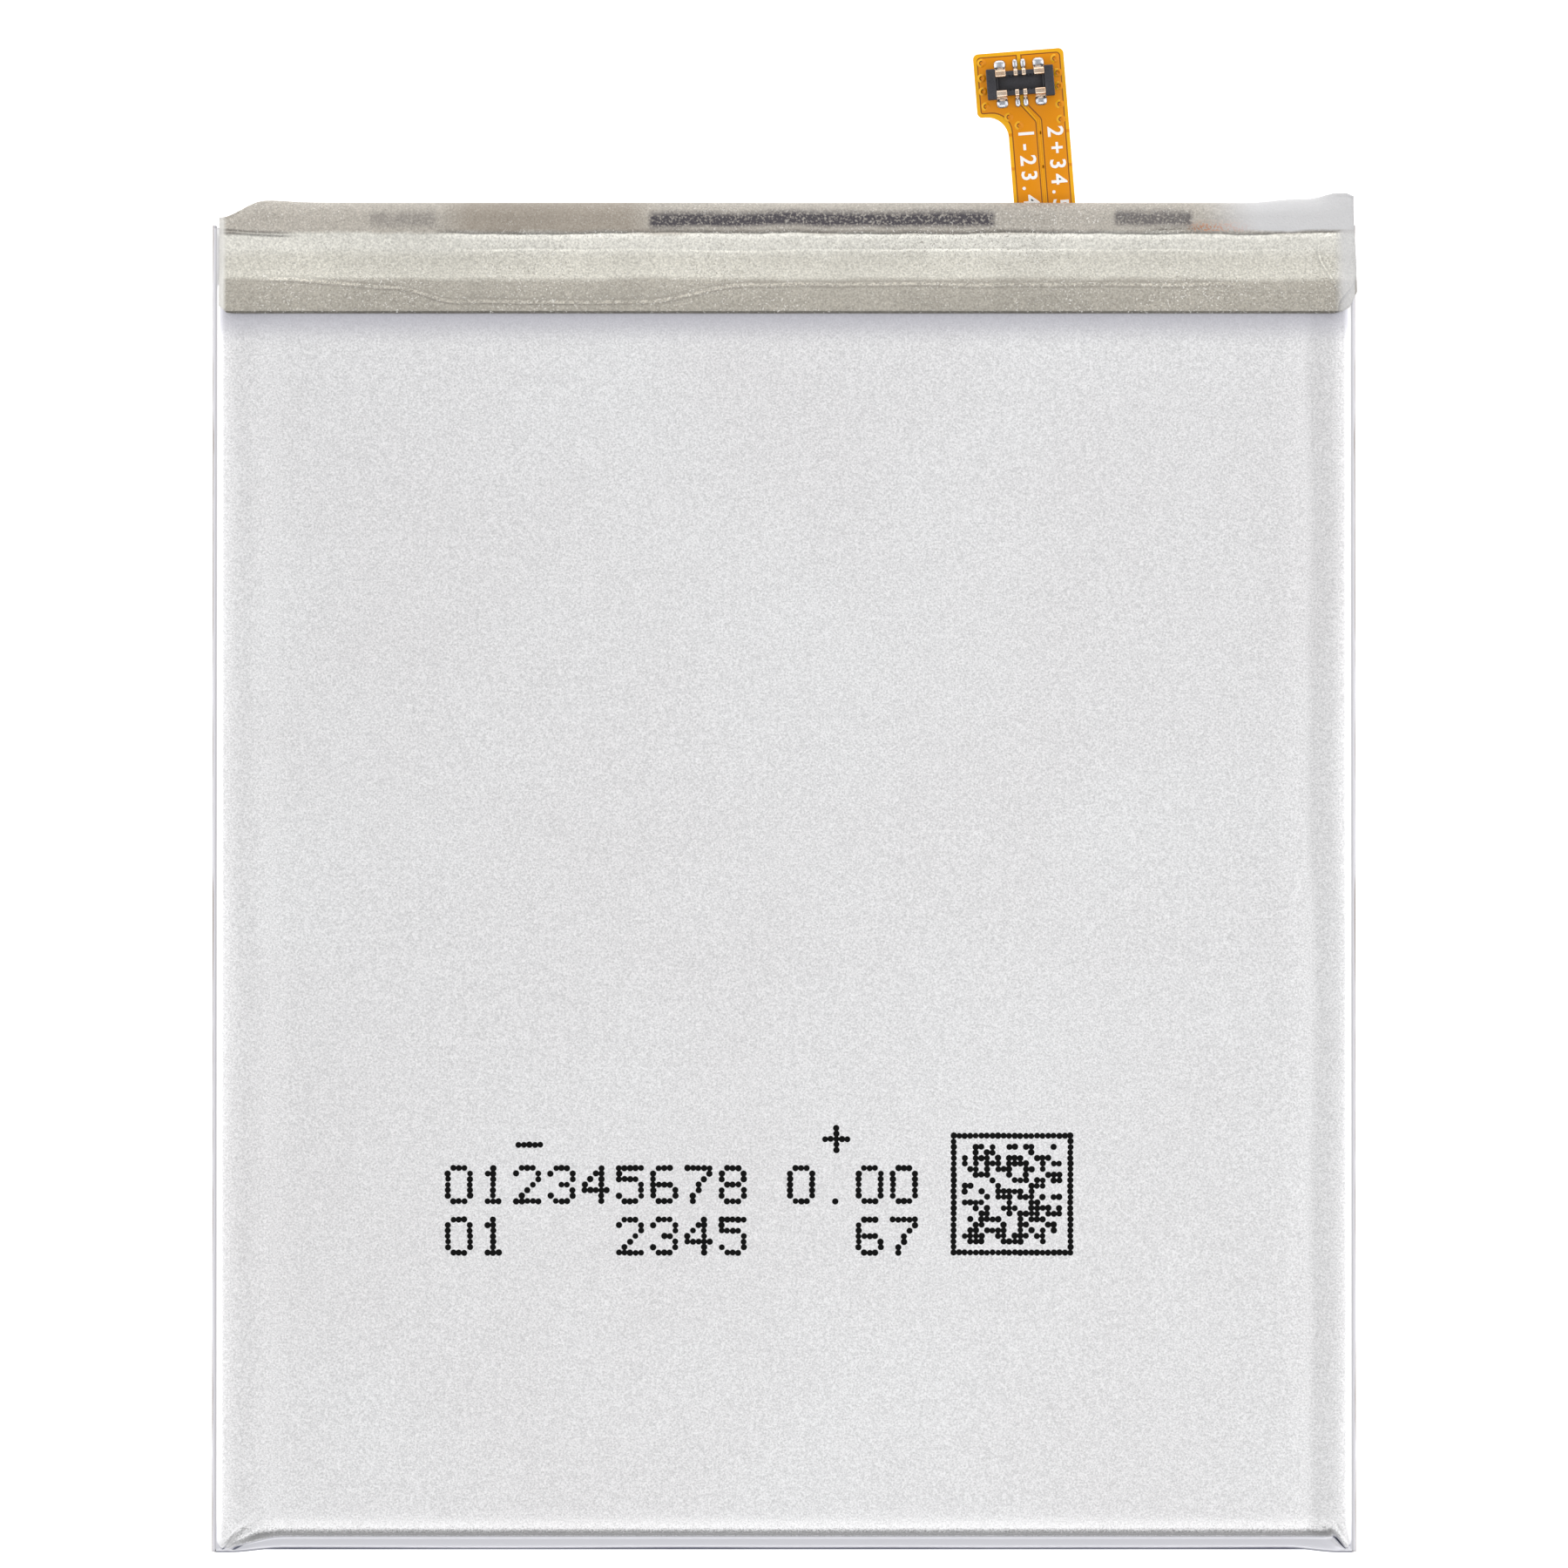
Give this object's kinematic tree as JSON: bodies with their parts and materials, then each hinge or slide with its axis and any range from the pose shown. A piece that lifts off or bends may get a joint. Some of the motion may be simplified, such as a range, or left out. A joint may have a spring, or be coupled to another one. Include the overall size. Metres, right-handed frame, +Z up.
{
  "type": "pouch battery cell",
  "caption": "Flat wound lithium-ion pouch cell with a taped protection board along its top edge and a flexible printed tail ending in a small board-to-board plug.",
  "frame": {"origin": "centre of the cell's rear face, on the surface that it rests on", "axes": "+X across the cell, +Y along it towards the taped top edge and the tail, +Z up out of the front face"},
  "size_m": [0.0561, 0.0738, 0.0056],
  "materials": {
    "pouch_film": "matte nylon face over aluminium foil",
    "seal_layer": "fused polypropylene",
    "separator_film": "porous film",
    "cathode_coating": "black coating on aluminium foil",
    "anode_coating": "graphite coating on copper foil",
    "closing_tape": "green adhesive tape",
    "aluminium_tab": "satin",
    "nickel_tab": "satin nickel",
    "tab_sealant_film": "polypropylene",
    "black_film": "insulating film",
    "board_laminate": "glass epoxy with solder mask",
    "black_epoxy": "moulded",
    "chip_ceramic": "fired, tinned ends",
    "insulating_paper": "matte",
    "flex_film": "polyimide coverlay",
    "copper_foil": "rolled copper",
    "solder": "tin solder",
    "steel_plate": "rolled",
    "plug_plastic": "moulded liquid crystal polymer",
    "gold_plate": "gold-plated copper alloy",
    "wrap_film": "translucent adhesive tape",
    "label_film": "printed label"
  },
  "bodies": {
    "pack": {"pouch_cup": "pouch_film", "pouch_cover": "pouch_film", "heat_seal": "seal_layer", "separator_inner": "separator_film", "cathode_sheet": "cathode_coating", "separator_outer": "separator_film", "anode_sheet": "anode_coating", "roll_closing_tape": "closing_tape", "positive_tab": "aluminium_tab", "negative_tab": "nickel_tab", "tab_sealant": "tab_sealant_film", "tab_insulation_strip": "black_film", "protection_board": "board_laminate", "weld_plates": "nickel_tab", "mosfets": "black_epoxy", "protection_ic": "black_epoxy", "sense_resistor": "black_epoxy", "thermistor": "chip_ceramic", "chip_capacitors": "chip_ceramic", "chip_resistors": "black_epoxy", "terrace_insulator": "insulating_paper", "flex_root_film": "flex_film", "flex_root_copper": "copper_foil", "flex_root_solder": "solder", "wrap_tape": "wrap_film", "rear_label": "label_film"},
    "tail": {"flex_tail_film": "flex_film", "flex_tail_copper": "copper_foil"},
    "head": {"flex_head_film": "flex_film", "flex_head_copper": "copper_foil", "connector_stiffener": "steel_plate", "connector_housing": "plug_plastic", "power_contacts": "gold_plate", "signal_contacts": "gold_plate", "connector_solder": "solder"}
  },
  "joints": [
    {"name": "tail_bend", "type": "hinge", "parent": "pack", "child": "tail", "pos_m": [0.01278, 0.03325, 0.00382], "axis": [0.9969, 0.0785, 0], "range_deg": [-60, 90], "stiffness_Nm_per_rad": 0.0014},
    {"name": "head_bend", "type": "hinge", "parent": "tail", "child": "head", "pos_m": [0.01254, 0.03634, 0.00382], "axis": [0.9969, 0.0785, 0], "range_deg": [-90, 90], "stiffness_Nm_per_rad": 0.0014}
  ]
}
